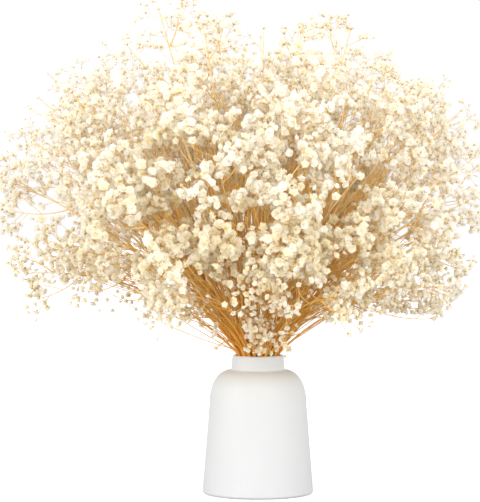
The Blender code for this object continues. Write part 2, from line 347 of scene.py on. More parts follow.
# Reach from the mouth to the outermost florets, by lean, on the left and on the right
REACH_LEANS = (0, 15, 30, 45, 57, 66, 75)
REACH_LEFT = (0.335, 0.368, 0.352, 0.342, 0.310, 0.286, 0.236)
REACH_RIGHT = (0.335, 0.352, 0.336, 0.316, 0.264, 0.242, 0.196)
DEPTH_SHARE = 0.88
REACH_SPREAD = 0.03
BEARING_SPREAD = 6
FRAME_SEED = 11
MOUTH_SPREAD = 0.0150
MOUTH_EASE = 0.85
BEND_HEIGHT = 0.1345
FLOOR_SPREAD = 1.5
STAND_GAP = 0.0003
OUTER_BEND = 0.40
STEM_RADII = (0.0014, 0.0005)
FRAME_STEM_RADIUS = 0.0014
FRAME_STRETCHES = 7
STEM_STRETCHES = 18
BRANCH_SHARES = (0.50, 0.64, 0.77, 0.89)
STALKS_ON_BRANCH = (2, 2, 2, 1)
STALK_SHARES = (0.48, 0.78)
BRANCH_OPENING = math.radians(44)
STALK_OPENING = math.radians(48)
FRAME_BRANCH_RADIUS = 0.0008
FRAME_STALK_RADIUS = 0.00045
BRANCH_RADII = (0.00070, 0.00040)
STALK_RADII = (0.00042, 0.00030)
BRANCH_REACH = 0.60
BRANCH_LEAST = 0.016
BRANCH_SPREAD = 0.15
BRANCH_BEND = 0.7
STALK_LENGTH = (0.020, 0.032)
LOWEST_FLORET = 0.165
GOLDEN_TURN = math.radians(137.5)
TRIES = 24
CLEARANCE = 0.0007
FRAME_FLORET_RADIUS = 0.0045
MOUTH = Vector((0, 0, VASE_HEIGHT))
# Keeps a stretch of no length, such as a floret's, from dividing by zero
TINY = 1e-18


def distances(start, end, starts, ends):
    """Least distance from one straight stretch to each of many others."""
    run, runs, offset = end - start, ends - starts, start - starts
    own = max(run @ run, TINY)
    cross = runs @ run
    others = np.maximum((runs * runs).sum(1), TINY)
    on_own, on_others = offset @ run, (runs * offset).sum(1)
    spread = np.maximum(own * others - cross * cross, TINY)
    s = np.clip((cross * on_others - others * on_own) / spread, 0, 1)
    t = np.clip((cross * s + on_others) / others, 0, 1)
    s = np.clip((cross * t - on_own) / own, 0, 1)
    return np.linalg.norm(offset + np.outer(s, run) - runs * t[:, None], axis=1)


class Space:
    """The stretches already taken, each as start, end, radius and owner, so that no spray crosses another."""

    def __init__(self):
        self.stretches = []

    def take(self, owner, points, radius):
        for start, end in zip(points, points[1:]):
            self.stretches.append((*start, *end, radius, owner))

    def is_clear(self, owner, points, radius):
        taken = np.array([row for row in self.stretches if row[-1] != owner])
        if not len(taken):
            return True
        for start, end in zip(points, points[1:]):
            apart = distances(np.array(start), np.array(end), taken[:, 0:3], taken[:, 3:6])
            free = apart - taken[:, 6] - radius
            if free.min() < CLEARANCE:
                return False
        return True


def heading(lean, azimuth):
    return Vector((math.sin(lean) * math.cos(azimuth), math.sin(lean) * math.sin(azimuth), math.cos(lean)))


def full_reach(lean, azimuth):
    """How far the bunch reaches from the mouth, wider to the left than to the right, and less in depth."""
    degrees = math.degrees(lean)
    left = np.interp(degrees, REACH_LEANS, REACH_LEFT)
    right = np.interp(degrees, REACH_LEANS, REACH_RIGHT)
    side = 0.5 + 0.5 * math.cos(azimuth)
    depth = 1 - (1 - DEPTH_SHARE) * math.sin(azimuth) ** 2 * math.sin(lean)
    return float(left + (right - left) * side) * depth


def bent(start, pull, end, steps):
    """A line from start to end on one arc, drawn towards a point."""
    points = []
    for step in range(steps + 1):
        t = step / steps
        points.append(start * (1 - t) ** 2 + pull * (2 * t * (1 - t)) + end * t**2)
    return points


def stem_points(lean, azimuth, reach, stretches, mouth_spread=MOUTH_SPREAD, outer_bend=OUTER_BEND):
    """From the inner floor, up through the mouth, and out on one arc to the topmost floret."""
    share = lean / math.radians(WIDEST_LEAN)
    out = Vector((math.cos(azimuth), math.sin(azimuth), 0.0)) * mouth_spread * share**MOUTH_EASE
    foot = out * FLOOR_SPREAD + Vector((0, 0, INNER_FLOOR + STAND_GAP))
    bend = out + Vector((0, 0, BEND_HEIGHT))
    tip = MOUTH + heading(lean, azimuth) * (reach - FRAME_FLORET_RADIUS)
    pull = bend + heading(lean * (1 - outer_bend * share), azimuth) * (reach / 2)
    return [foot] + bent(bend, pull, tip, stretches)


def along(points, share):
    """Place and direction at a share of a line's length."""
    lengths = [(b - a).length for a, b in zip(points, points[1:])]
    left = share * sum(lengths)
    for (start, end), length in zip(zip(points, points[1:]), lengths):
        if left <= length:
            break
        left -= length
    return start.lerp(end, min(left / length, 1.0)), (end - start).normalized()


def fork(direction, opening, turn):
    """A direction that opens from another by an angle, turned about it."""
    side = direction.orthogonal().normalized()
    side.rotate(Matrix.Rotation(turn, 3, direction))
    return direction * math.cos(opening) + side * math.sin(opening)


def turning_back(root, first, direction, length):
    """Root, middle and end of a branch that opens one way and turns back towards its stem's direction."""
    middle = root + first * (length / 2)
    return [root, middle, middle + (first + direction * BRANCH_BEND).normalized() * (length / 2)]


def rounded(root, middle, end, steps):
    """The smooth line of a branch, through its middle."""
    return bent(root, middle * 2 - (root + end) / 2, end, steps)


def has_room(spray, space, line, radius):
    """Whether a line and the floret at its end keep clear of the other sprays and hang high enough."""
    end = line[-1]
    if end.z < LOWEST_FLORET:
        return False
    floret_fits = space.is_clear(spray["owner"], [end, end], FRAME_FLORET_RADIUS)
    return floret_fits and space.is_clear(spray["owner"], line, radius)


def take_line(spray, space, line, radius):
    space.take(spray["owner"], line, radius)
    space.take(spray["owner"], [line[-1]] * 2, FRAME_FLORET_RADIUS)


def grow_stem(owner, space, rng, lean, bearing, share):
    """A stem's line in the frame and its smooth one, its bearing drawn until it stands clear."""
    for attempt in range(TRIES):
        azimuth = math.radians(bearing + rng.uniform(-BEARING_SPREAD, BEARING_SPREAD))
        reach = full_reach(lean, azimuth) * share * rng.uniform(1 - REACH_SPREAD, 1)
        stem = stem_points(lean, azimuth, reach, FRAME_STRETCHES)
        if space.is_clear(owner, stem, FRAME_STEM_RADIUS):
            break
    return reach, stem, stem_points(lean, azimuth, reach, STEM_STRETCHES)


def grow_branch(spray, space, rng, share, turn):
    """One branch that opens from the stem and curves back along it, or None where there is no room."""
    root, direction = along(spray["stem"][1:], share)
    spread = rng.uniform(1 - BRANCH_SPREAD, 1 + BRANCH_SPREAD)
    length = BRANCH_LEAST + BRANCH_REACH * (1 - share) * spray["reach"] * spread
    for attempt in range(TRIES):
        first = fork(direction, BRANCH_OPENING, turn + attempt * GOLDEN_TURN)
        branch = turning_back(root, first, direction, length)
        if has_room(spray, space, branch, FRAME_BRANCH_RADIUS):
            return branch
    return None


def grow_stalk(spray, space, rng, branch, share, turn):
    """One straight stalk with room for the floret at its end, or None."""
    root, direction = along(branch, share)
    length = rng.uniform(*STALK_LENGTH)
    for attempt in range(TRIES):
        stalk = [root, root + fork(direction, STALK_OPENING, turn + attempt * GOLDEN_TURN) * length]
        if has_room(spray, space, stalk, FRAME_STALK_RADIUS):
            return stalk
    return None


def grow_bunch():
    """Every long spray as its stem, branches and stalks, just where the frame has them."""
    rng = random.Random(FRAME_SEED)
    space = Space()
    sprays = []
    for lean, count, turned, share in RINGS:
        for place in range(count):
            owner, bearing = len(sprays), turned + 360 * place / count
            reach, stem, smooth = grow_stem(owner, space, rng, math.radians(lean), bearing, share)
            spray = {"owner": owner, "reach": reach, "stem": stem, "smooth": smooth}
            spray.update(branches=[], stalks=[])
            take_line(spray, space, spray["stem"], FRAME_STEM_RADIUS)
            sprays.append(spray)
    for level, share in enumerate(BRANCH_SHARES):
        for spray in sprays:
            branch = grow_branch(spray, space, rng, share, spray["owner"] + level * GOLDEN_TURN)
            if branch:
                take_line(spray, space, branch, FRAME_BRANCH_RADIUS)
                spray["branches"].append((level, branch))
    for side, share in enumerate(STALK_SHARES):
        for spray in sprays:
            for level, branch in spray["branches"]:
                if side < STALKS_ON_BRANCH[level]:
                    turn = spray["owner"] + level + side * math.pi
                    stalk = grow_stalk(spray, space, rng, branch, share, turn)
                    if stalk:
                        take_line(spray, space, stalk, FRAME_STALK_RADIUS)
                        spray["stalks"].append((level, share, stalk))
    return sprays


# How a line is dressed: clusters of florets on it, its share of the line from and to, how wide they open,
# their stalks' length at the first and at the last, and how often each forks again below its floret
DRESS = {
    "stem": (4, 0.88, 0.985, math.radians(48), 0.026, 0.015, 2),
    "branch": (4, 0.70, 0.97, math.radians(50), 0.017, 0.013, 1),
    "stalk": (3, 0.55, 0.95, math.radians(52), 0.013, 0.011, 1),
}
CLUSTER_SHIFT = 0.3
CLUSTER_SHARES = (0.05, 0.985)
OPENING_SPREAD = 0.2
BRANCH_STEPS = 8
STALK_STEPS = 4
# Long thin side stalks low on each stem, nearly bare, that run up beside it and thicken the sheaf
STRANDS = 8
STRAND_SHARES = (0.04, 0.50)
STRAND_OPENING = (math.radians(8), math.radians(28))
STRAND_REACH = (0.50, 0.80)
STRAND_RADII = (0.00050, 0.00034)
STRAND_CLUSTER = 0.012
STRAND_STEPS = 7
FORK_AT = 0.58
FORK_OPENING = (math.radians(32), math.radians(56))
FORK_LENGTH = (0.62, 0.86)
STALK_SPREAD = 0.30
STALK_WAVE = 0.07
FINE_RADII = (0.00025, 0.00018)
FAN_SLACK = 0.007
# The bunch's underside: low in front of the mouth, and higher to either side, where the bare stems show
LOW_HEIGHT = 0.144
LOW_HALF_WIDTH = 0.026
LOW_SLOPE = 0.9
LOW_RISE = 0.034
# Behind the front face the stems stay bare up to this share of the full reach
BARE_SHARE = 0.56
BARE_BEHIND = -0.045
# Gaps where the stems show through the front face, and the dip in the top: lean to the right in degrees,
# distance from the mouth, half length along the stems, half width, and how far back each goes
GAPS = (
    (-17, 0.216, 0.015, 0.020, 0.02),
    (-9, 0.260, 0.012, 0.010, 0.02),
    (-27, 0.227, 0.009, 0.011, 0.02),
    (10, 0.191, 0.008, 0.011, 0.02),
    (19, 0.249, 0.010, 0.016, 0.02),
    (31, 0.215, 0.012, 0.011, 0.02),
    (27, 0.170, 0.021, 0.012, 0.02),
    (47, 0.196, 0.024, 0.015, 0.02),
    (40, 0.124, 0.020, 0.012, 0.02),
    (41, 0.074, 0.020, 0.008, 0.02),
    (25, 0.082, 0.014, 0.011, 0.02),
    (-36, 0.074, 0.042, 0.013, 0.02),
    (-1, 0.144, 0.011, 0.021, 0.02),
    (-7, 0.130, 0.009, 0.008, 0.02),
    (-7, 0.177, 0.008, 0.011, 0.02),
    (-45, 0.177, 0.026, 0.012, 0.02),
    (-25, 0.163, 0.010, 0.016, 0.02),
    (-36, 0.170, 0.010, 0.012, 0.02),
    (2, 0.350, 0.038, 0.038, 1.0),
)
GAP_RAGGED = 0.6
RAGGED_SCALE = 90
DRESS_SEED = 29
FLORET_SIZES = (0.0022, 0.0044, 0.0032)
# The bunch is arranged with its largest florets on its front and back faces, above its lowest sprays
LARGE_FLORET = 1.5
LARGE_DEPTH = 0.16
LARGE_LOW = 0.20
LARGE_RISE = 0.07
LONG_SPRAY_FLORET = 1.08


def in_gap(point):
    """Whether a floret would hang in one of the gaps, whose edges are ragged."""
    edge = 1 + GAP_RAGGED * noise.noise(point * RAGGED_SCALE)
    for lean, distance, half_length, half_width, back in GAPS:
        onward = heading(math.radians(lean), 0)
        offset = point - MOUTH - onward * distance
        length = offset.x * onward.x + offset.z * onward.z
        width = offset.x * onward.z - offset.z * onward.x
        if point.y < back and math.hypot(length / half_length, width / half_width) < edge:
            return True
    return False


def in_fan(point):
    """Whether a floret hangs inside the bunch's outline."""
    offset = point - MOUTH
    lean = math.atan2(math.hypot(offset.x, offset.y), offset.z)
    azimuth = math.atan2(offset.y, offset.x)
    lowest = LOW_HEIGHT + min(max(abs(point.x) - LOW_HALF_WIDTH, 0) * LOW_SLOPE, LOW_RISE)
    reach = full_reach(lean, azimuth)
    inside = point.y > BARE_BEHIND and offset.length < BARE_SHARE * reach
    return point.z > lowest and not inside and not in_gap(point) and offset.length < reach + FAN_SLACK


def bowed(start, end, rng, steps):
    """A line from start to end with a slight natural bow, half as deep as its pull lies out."""
    run = end - start
    side = run.orthogonal().normalized()
    side.rotate(Matrix.Rotation(rng.uniform(0, math.tau), 3, run))
    pull = start + run / 2 + side * run.length * rng.uniform(-2, 2) * STALK_WAVE
    return bent(start, pull, end, steps)


def add_floret(dressed, place, facing, rng):
    """Notes a floret's place, the way it faces and its size, larger on the bunch's two faces."""
    outer = min(abs(place.y) / LARGE_DEPTH, 1) * min(max((place.z - LARGE_LOW) / LARGE_RISE, 0), 1)
    size = rng.triangular(*FLORET_SIZES) * dressed["scale"] * (1 + (LARGE_FLORET - 1) * outer)
    dressed["florets"].append((place, facing, size))


def grow_cluster(dressed, rng, root, direction, length, forks):
    """A hair-thin stalk that ends in a floret, and forks below it into two shorter ones of the same kind."""
    tip = root + direction * length
    if not in_fan(tip):
        return
    line = bowed(root, tip, rng, 2 if forks else 1)
    dressed["lines"].append((line, FINE_RADII))
    add_floret(dressed, tip, (line[-1] - line[-2]).normalized(), rng)
    if forks:
        knot, onward = along(line, FORK_AT)
        turn = rng.uniform(0, math.tau)
        for side in (0, math.pi):
            opened = fork(onward, rng.uniform(*FORK_OPENING), turn + side)
            grow_cluster(dressed, rng, knot, opened, length * rng.uniform(*FORK_LENGTH), forks - 1)


def dress(dressed, rng, line, kind):
    """Sets clusters of florets round a line in golden-angle turns, shorter towards its end."""
    count, first, last, opening, longest, shortest, forks = DRESS[kind]
    turn = rng.uniform(0, math.tau)
    for place in range(count):
        share = first + (last - first) * (place + rng.uniform(-CLUSTER_SHIFT, CLUSTER_SHIFT)) / (count - 1)
        root, direction = along(line, min(max(share, CLUSTER_SHARES[0]), CLUSTER_SHARES[1]))
        length = longest + (shortest - longest) * place / (count - 1)
        length *= rng.uniform(1 - STALK_SPREAD, 1 + STALK_SPREAD)
        opening_here = opening * rng.uniform(1 - OPENING_SPREAD, 1 + OPENING_SPREAD)
        opened = fork(direction, opening_here, turn + place * GOLDEN_TURN)
        grow_cluster(dressed, rng, root, opened, length, forks + (kind == "branch" and place == count - 1))


def add_main_line(dressed, rng, line, radii, kind):
    dressed["lines"].append((line, radii))
    add_floret(dressed, line[-1], (line[-1] - line[-2]).normalized(), rng)
    dress(dressed, rng, line, kind)


def add_strands(dressed, rng, stem, reach):
    """Side stalks that open narrowly from the lower stem and curve up beside it to a small cluster."""
    turn = rng.uniform(0, math.tau)
    for place in range(STRANDS):
        at = rng.uniform(*STRAND_SHARES)
        root, direction = along(stem[1:], at)
        length = (1 - at) * reach * rng.uniform(*STRAND_REACH)
        first = fork(direction, rng.uniform(*STRAND_OPENING), turn + place * GOLDEN_TURN)
        strand = turning_back(root, first, direction, length)
        end = strand[-1]
        if in_fan(end):
            line = rounded(*strand, STRAND_STEPS)
            dressed["lines"].append((line, STRAND_RADII))
            grow_cluster(dressed, rng, end, (line[-1] - line[-2]).normalized(), STRAND_CLUSTER, 1)


def dress_spray(spray, rng):
    """A long spray with smooth lines through the frame's own, dressed with clusters of florets."""
    dressed = {"name": f"gypsophila_{spray['owner'] + 1:02d}", "node": f"spray_{spray['owner'] + 1:02d}"}
    dressed.update(scale=LONG_SPRAY_FLORET, lines=[], florets=[])
    add_main_line(dressed, rng, spray["smooth"], STEM_RADII, "stem")
    add_strands(dressed, rng, spray["smooth"], spray["reach"])
    smooth_branches = {}
    for level, (_, middle, end) in spray["branches"]:
        root, _ = along(spray["smooth"][1:], BRANCH_SHARES[level])
        smooth_branches[level] = rounded(root, middle, end, BRANCH_STEPS)
        add_main_line(dressed, rng, smooth_branches[level], BRANCH_RADII, "branch")
    for level, share, (_, end) in spray["stalks"]:
        root, _ = along(smooth_branches[level], share)
        add_main_line(dressed, rng, bowed(root, end, rng, STALK_STEPS), STALK_RADII, "stalk")
    return dressed


dress_rng = random.Random(DRESS_SEED)
bunch = [dress_spray(spray, dress_rng) for spray in grow_bunch()]


# The finer sprays between them
# The bunch is cut from whole plants, so finer and shorter side sprays stand among the long ones. They fill
# the mouth with stems, close the cloud between the long sprays, and hang over the rim in front.

# Lean from upright, first and last bearing, sprays in the row, share of the full reach on the left and on the
# right, branches on each, and the size of its florets against the long sprays', with all angles in degrees
FINE_ROWS = (
    (11, 0, 360, 3, 0.74, 0.74, 6, 0.90),
    (23, 20, 380, 8, 0.80, 0.84, 7, 0.90),
    (30, 35, 145, 4, 0.80, 0.80, 6, 0.95),
    (36, 0, 360, 13, 0.92, 0.96, 7, 0.90),
    (46, 40, 140, 4, 0.86, 0.86, 6, 1.00),
    (49, 14, 374, 15, 0.91, 0.95, 7, 0.90),
    (40, 150, 230, 3, 0.97, 0.97, 6, 0.80),
    (38, -40, 40, 2, 0.97, 0.97, 6, 0.80),
    (60, 0, 360, 13, 0.73, 0.86, 7, 0.92),
    (68, 12, 372, 8, 0.62, 0.68, 6, 0.95),
    (50, -140, -15, 4, 0.66, 0.66, 4, 1.25),
    (64, -130, -25, 5, 0.56, 0.56, 4, 1.15),
    (76, -125, -50, 3, 0.34, 0.34, 3, 0.90),
)
FINE_STEM_RADII = (0.0011, 0.0004)
FINE_MOUTH_SPREAD = 0.0180
FINE_OUTER_BEND = 0.60
FINE_BRANCH_RADII = (0.00055, 0.00035)
FINE_SPREAD = 0.08
FINE_BEARING_SPREAD = 9
FINE_LEAN_SPREAD = 5
FINE_BRANCH_SHARES = (0.36, 0.95)
FINE_BRANCH_OPENING = (math.radians(22), math.radians(46))
FINE_BRANCH_REACH = 0.72
FINE_BRANCH_LEAST = 0.026
FINE_BRANCH_SPREAD = (0.85, 1.1)
FINE_STRETCHES = 14
FINE_BRANCH_STEPS = 6
FINE_TRIES = 4
FINE_SEED = 47


def fine_spray(dressed, rng, lean, bearing, shares, branches):
    """A finer stem with a few branches, its clusters like those of the long sprays."""
    azimuth = math.radians(bearing + rng.uniform(-FINE_BEARING_SPREAD, FINE_BEARING_SPREAD))
    lean = math.radians(lean + rng.uniform(-FINE_LEAN_SPREAD, FINE_LEAN_SPREAD))
    share = shares[0] + (shares[1] - shares[0]) * (0.5 + 0.5 * math.cos(azimuth))
    reach = full_reach(lean, azimuth) * min(share * rng.uniform(1 - FINE_SPREAD, 1 + FINE_SPREAD), 1)
    stem = stem_points(lean, azimuth, reach, FINE_STRETCHES, FINE_MOUTH_SPREAD, FINE_OUTER_BEND)
    dressed["lines"].append((stem, FINE_STEM_RADII))
    add_floret(dressed, stem[-1], (stem[-1] - stem[-2]).normalized(), rng)
    add_strands(dressed, rng, stem, reach)
    turn = rng.uniform(0, math.tau)
    for place in range(branches):
        step = place / (branches - 1)
        at = FINE_BRANCH_SHARES[0] + (FINE_BRANCH_SHARES[1] - FINE_BRANCH_SHARES[0]) * step
        opening = FINE_BRANCH_OPENING[0] + (FINE_BRANCH_OPENING[1] - FINE_BRANCH_OPENING[0]) * step
        root, direction = along(stem[1:], at)
        spread = rng.uniform(*FINE_BRANCH_SPREAD)
        length = FINE_BRANCH_LEAST + FINE_BRANCH_REACH * (1 - at) * reach * spread
        for attempt in range(FINE_TRIES):
            first = fork(direction, opening, (place + attempt) * GOLDEN_TURN + turn)
            branch = turning_back(root, first, direction, length)
            if in_fan(branch[-1]):
                add_main_line(dressed, rng, rounded(*branch, FINE_BRANCH_STEPS), FINE_BRANCH_RADII, "branch")
                break


fine_rng = random.Random(FINE_SEED)
for row, (lean, first, last, count, *shares, branches, scale) in enumerate(FINE_ROWS):
    dressed = {"name": f"fine_sprays_{row + 1:02d}", "node": None}
    dressed.update(scale=scale, lines=[], florets=[])
    for place in range(count):
        fine_spray(dressed, fine_rng, lean, first + (last - first) * place / count, shares, branches)
    bunch.append(dressed)


# Stems and stalks
# Dried stems are round and hard, and go from the orange of old straw at the mouth to pale, hair-thin stalks
# at the bunch's edge. Each is a tube along its line, thinner towards its floret.

STEM_SIDES = 6
STALK_SIDES = 3
FINE_LIMIT = 0.00052
# Straw colours from the oldest, thickest stems to the finest stalks
STRAW_HEX = ("#E09B38", "#F0B548", "#F2C97A", "#EEDFC2")
STRAW_STOPS = (0.0, 0.35, 0.65, 1.0)
STREAK_HEX = "#A8641E"
THICKEST = 0.0014
# A line's tone, from oldest to palest, goes up as the line gets thinner and further from the mouth
TONE_SPREAD = 0.16
TONE_BY_THICKNESS = 0.85
TONE_RISE = 1.3
TONE_MIDDLE = 0.26
TONE_LIMITS = (0.01, 0.94)
# The share of the map's width that the way round a stem, or across a petal, takes up beside its tone
MAP_ACROSS = 0.05
STREAK_SCALE = (60, 5, 1)
STREAK_LIMITS = (0.45, 0.75)
STREAK_MOST = 0.55
STRAW_ROUGHNESS = 0.55
# A stem's fibres are 0.1 mm apart, too fine to show, so its bark is drawn 0.6 mm rough
BARK_MM = 0.6
BARK_STRENGTH = 0.3
BARK_DEPTH = 0.0001


def socket_id(tree, name):
    """The identifier under which a modifier holds a tree's named input."""
    for item in tree.interface.items_tree:
        if item.in_out == "INPUT" and item.name == name:
            return item.identifier


def set_out(mesh, tree, sizes):
    """The plain mesh that a tree makes of a mesh, with the tree's named inputs set."""
    guide = stand_object("guide", mesh)
    grow = guide.modifiers.new("grow", "NODES")
    grow.node_group = tree
    for name, value in sizes.items():
        grow[socket_id(tree, name)] = value
    made = bpy.data.meshes.new_from_object(guide.evaluated_get(bpy.context.evaluated_depsgraph_get()))
    bpy.data.objects.remove(guide)
    bpy.data.meshes.remove(mesh)
    return made


def new_tree(name, inputs):
    """A geometry tree with named inputs, and its input node."""
    tree = bpy.data.node_groups.new(name, "GeometryNodeTree")
    tree.interface.new_socket("Geometry", in_out="INPUT", socket_type="NodeSocketGeometry")
    tree.interface.new_socket("Geometry", in_out="OUTPUT", socket_type="NodeSocketGeometry")
    for label, kind in inputs.items():
        tree.interface.new_socket(label, in_out="INPUT", socket_type=kind)
    return tree, add(tree, "NodeGroupInput")


def map_tones(tree, geometry, tone, across, way):
    """Geometry with a map: its tone and the way across it in X, and the way along it in Y."""
    tone_across = add(tree, "ShaderNodeMath", {"Value": across}, operation="MULTIPLY_ADD")
    tone_across.inputs[1].default_value = MAP_ACROSS
    tree.links.new(tone.outputs["Attribute"], tone_across.inputs[2])
    return add(
        tree,
        "GeometryNodeStoreNamedAttribute",
        {
            "Geometry": geometry,
            "Name": "OFBake",
            "Value": add(tree, "ShaderNodeCombineXYZ", {"X": tone_across, "Y": way}),
        },
        data_type="FLOAT2",
        domain="CORNER",
    )


def colour_row(tree, place, stops, colours):
    """The colour at a place along a row of colours."""
    ramp = add(tree, "ShaderNodeValToRGB", {"Fac": place})
    for stop in stops[1:-1]:
        ramp.color_ramp.elements.new(stop)
    for element, stop, hex_colour in zip(ramp.color_ramp.elements, stops, colours):
        element.position = stop
        element.color = linear(hex_colour)
    return ramp.outputs["Color"]


stalk_tree, given = new_tree(
    "stems_and_stalks",
    {
        "Stem Sides": "NodeSocketInt",
        "Stalk Sides": "NodeSocketInt",
        "Fine Limit": "NodeSocketFloat",
        "Finish": "NodeSocketMaterial",
    },
)
stored = {
    name: add(stalk_tree, "GeometryNodeInputNamedAttribute", {"Name": name}, data_type="FLOAT")
    for name in ("thickness", "girth", "tone", "way", "round")
}
way = add(stalk_tree, "GeometryNodeSplineParameter")
line_curves = add(stalk_tree, "GeometryNodeMeshToCurve", {"Mesh": given.outputs["Geometry"]})
line_curves = add(
    stalk_tree,
    "GeometryNodeStoreNamedAttribute",
    {"Geometry": line_curves, "Name": "way", "Value": way.outputs["Factor"]},
    data_type="FLOAT",
)
is_stem = add(
    stalk_tree,
    "FunctionNodeCompare",
    {"A": stored["girth"], "B": given.outputs["Fine Limit"]},
    operation="GREATER_THAN",
)
sorted_lines = add(
    stalk_tree,
    "GeometryNodeSeparateGeometry",
    {"Geometry": line_curves, "Selection": is_stem},
    domain="CURVE",
)
tubes = add(stalk_tree, "GeometryNodeJoinGeometry")
for part, sides in (("Selection", "Stem Sides"), ("Inverted", "Stalk Sides")):
    ring = add(
        stalk_tree,
        "GeometryNodeCurvePrimitiveCircle",
        {"Resolution": given.outputs[sides], "Radius": 1.0},
    )
    ring_way = add(stalk_tree, "GeometryNodeSplineParameter")
    ring = add(
        stalk_tree,
        "GeometryNodeStoreNamedAttribute",
        {"Geometry": ring, "Name": "round", "Value": ring_way.outputs["Factor"]},
        data_type="FLOAT",
    )
    tube = add(
        stalk_tree,
        "GeometryNodeCurveToMesh",
        {
            "Curve": sorted_lines.outputs[part],
            "Profile Curve": ring,
            "Scale": stored["thickness"],
            "Fill Caps": True,
        },
    )
    stalk_tree.links.new(tube.outputs["Mesh"], tubes.inputs["Geometry"])
mapped = map_tones(stalk_tree, tubes, stored["tone"], stored["round"], stored["way"])
smooth = add(stalk_tree, "GeometryNodeSetShadeSmooth", {"Geometry": mapped})
plain = add(stalk_tree, "GeometryNodeRealizeInstances", {"Geometry": smooth})
plain = add(stalk_tree, "GeometryNodeSetMaterial", {"Geometry": plain, "Material": given.outputs["Finish"]})
add(stalk_tree, "NodeGroupOutput", {"Geometry": plain})

# Straw: a hard waxy skin over pale pith, so it has a low satin sheen, and its colour runs in long streaks.
straw_finish, straw_tree = finish("dried_straw_stem")
straw_map = add(straw_tree, "ShaderNodeUVMap", uv_map="OFBake")
straw_place = add(straw_tree, "ShaderNodeSeparateXYZ", {"Vector": straw_map})
clean_straw = colour_row(straw_tree, straw_place.outputs["X"], STRAW_STOPS, STRAW_HEX)
streak_place = add(straw_tree, "ShaderNodeVectorMath", {"Vector": straw_map}, operation="MULTIPLY")
streak_place.inputs[1].default_value = STREAK_SCALE
streaks = add(straw_tree, "ShaderNodeTexNoise", {"Vector": streak_place, "Scale": 1.0, "Detail": 2})
streak_share = add(
    straw_tree,
    "ShaderNodeMapRange",
    {"Value": streaks, "From Min": STREAK_LIMITS[0], "From Max": STREAK_LIMITS[1], "To Max": STREAK_MOST},
)
straw_colour = add(
    straw_tree,
    "ShaderNodeMix",
    {"Factor": streak_share, "A": clean_straw, "B": linear(STREAK_HEX)},
    data_type="RGBA",
)
bark_skin = bumpy_skin(straw_tree, BARK_MM, BARK_STRENGTH, BARK_DEPTH, Detail=2)
straw = add(
    straw_tree,
    "ShaderNodeBsdfPrincipled",
    {"Base Color": straw_colour, "Roughness": STRAW_ROUGHNESS, "Normal": bark_skin},
)
add(straw_tree, "ShaderNodeOutputMaterial", {"Surface": straw})


def line_mesh(dressed, rng):
    """A spray's lines as loose edges, with each point's thickness, its line's girth and its tone."""
    points, edges, thicknesses, girths, tones = [], [], [], [], []
    for line, (first, last) in dressed["lines"]:
        line_tone = rng.uniform(-TONE_SPREAD, TONE_SPREAD)
        for step, point in enumerate(line):
            if step:
                edges.append((len(points) - 1, len(points)))
            points.append(point)
            thickness = first + (last - first) * step / (len(line) - 1)
            thicknesses.append(thickness)
            girths.append(first)
            outward = ((point - MOUTH).length - TONE_MIDDLE) * TONE_RISE
            tone = 1 - TONE_BY_THICKNESS * thickness / THICKEST + line_tone + outward
            tones.append(min(max(tone, TONE_LIMITS[0]), TONE_LIMITS[1]))
    mesh = bpy.data.meshes.new("lines")
    mesh.from_pydata(points, edges, [])
    for name, values in (("thickness", thicknesses), ("girth", girths), ("tone", tones)):
        mesh.attributes.new(name, "FLOAT", "POINT").data.foreach_set("value", values)
    return mesh


tone_rng = random.Random(DRESS_SEED)
straw_sizes = {
    "Stem Sides": STEM_SIDES,
    "Stalk Sides": STALK_SIDES,
    "Fine Limit": FINE_LIMIT,
    "Finish": straw_finish,
}
for dressed in bunch:
    mesh = set_out(line_mesh(dressed, tone_rng), stalk_tree, straw_sizes)
    stalks = stand_object(dressed["name"] + "_stalks", mesh)
    bunch_lit.objects.link(stalks)
    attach(stalks, "root")
    if dressed["node"]:
        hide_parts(dressed["node"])


# The florets
# Each is a double flower of gypsophila a few millimetres wide: rings of thin ruffled petals in a small
# green-gold cup. As they dry, the petals crumple and turn from white to cream, and some stay half closed.
# Florets in the middle of the bunch are also painted a deeper golden as shade, and outer ones paler as light.

# Rings of petals from the outside in: petals, radius at middle and edge, height at root, middle and edge
WHORLS = (
    (5, 0.62, 1.00, -0.38, -0.16, 0.14),
    (4, 0.42, 0.74, -0.26, 0.14, 0.46),
    (3, 0.00, 0.40, 0.02, 0.00, 0.68),
)
NOTCH = 0.76
RUFFLE = 0.13
TURN_SPREAD = 0.1
LENGTH_SPREAD = (0.88, 1.08)
# The green-gold cup: its sides, its rim's radius and height, and the height of its foot
CUP_SIDES = 5
CUP = (0.36, -0.30, -0.78)
# How far each part lies along a petal's colours, which go from the cup's foot to the petal's edge
FOOT_PLACE = 0.0
RIM_PLACE = 0.12
ROOT_PLACE = 0.25
MIDDLE_PLACE = 0.6
EDGE_PLACE = 1.0
# Open florets, and half closed ones, which are narrower and taller
OPEN_KINDS = 6
CLOSED_KINDS = 2
CLOSED_SHARE = 0.16
CLOSED_WIDTH = 0.58
CLOSED_HEIGHT = 1.15
FLORET_SEED = 5
PETAL_STOPS = (0.0, 0.22, 0.55, 1.0)
# Colours from the cup's foot to the petal's edge. The aged ones also stand for painted shade on the inner
# florets, the fresh ones for painted light on the outer ones
AGED_AND_SHADED_HEX = ("#C89D43", "#F9E4A4", "#FEF3C8", "#FFFBE6")
FRESH_AND_LIT_HEX = ("#D7B86D", "#FEF6E0", "#FFFBF3", "#FFFEFB")
PETAL_ROUGHNESS = 0.85
PETAL_GLOW = 0.55
# A spray's florets go from aged to fresh with this tint, which varies at random and rises outward from the
# middle of the bunch. The rise is painted shade and light: inner florets deeper golden, outer ones paler.
SPRAY_TINT = (0.42, 0.74)
TINT_SPREAD = 0.26
SHADE_TINT_RISE = 1.5
SHADE_TINT_MIDDLE = 0.185
TINT_LIMITS = (0.02, 0.93)
# Petal creases are about 0.3 mm apart. They are drawn at 0.7 mm, so that they show.
CREASE_MM = 0.7
CREASE_STRENGTH = 0.35
CREASE_DEPTH = 0.0002


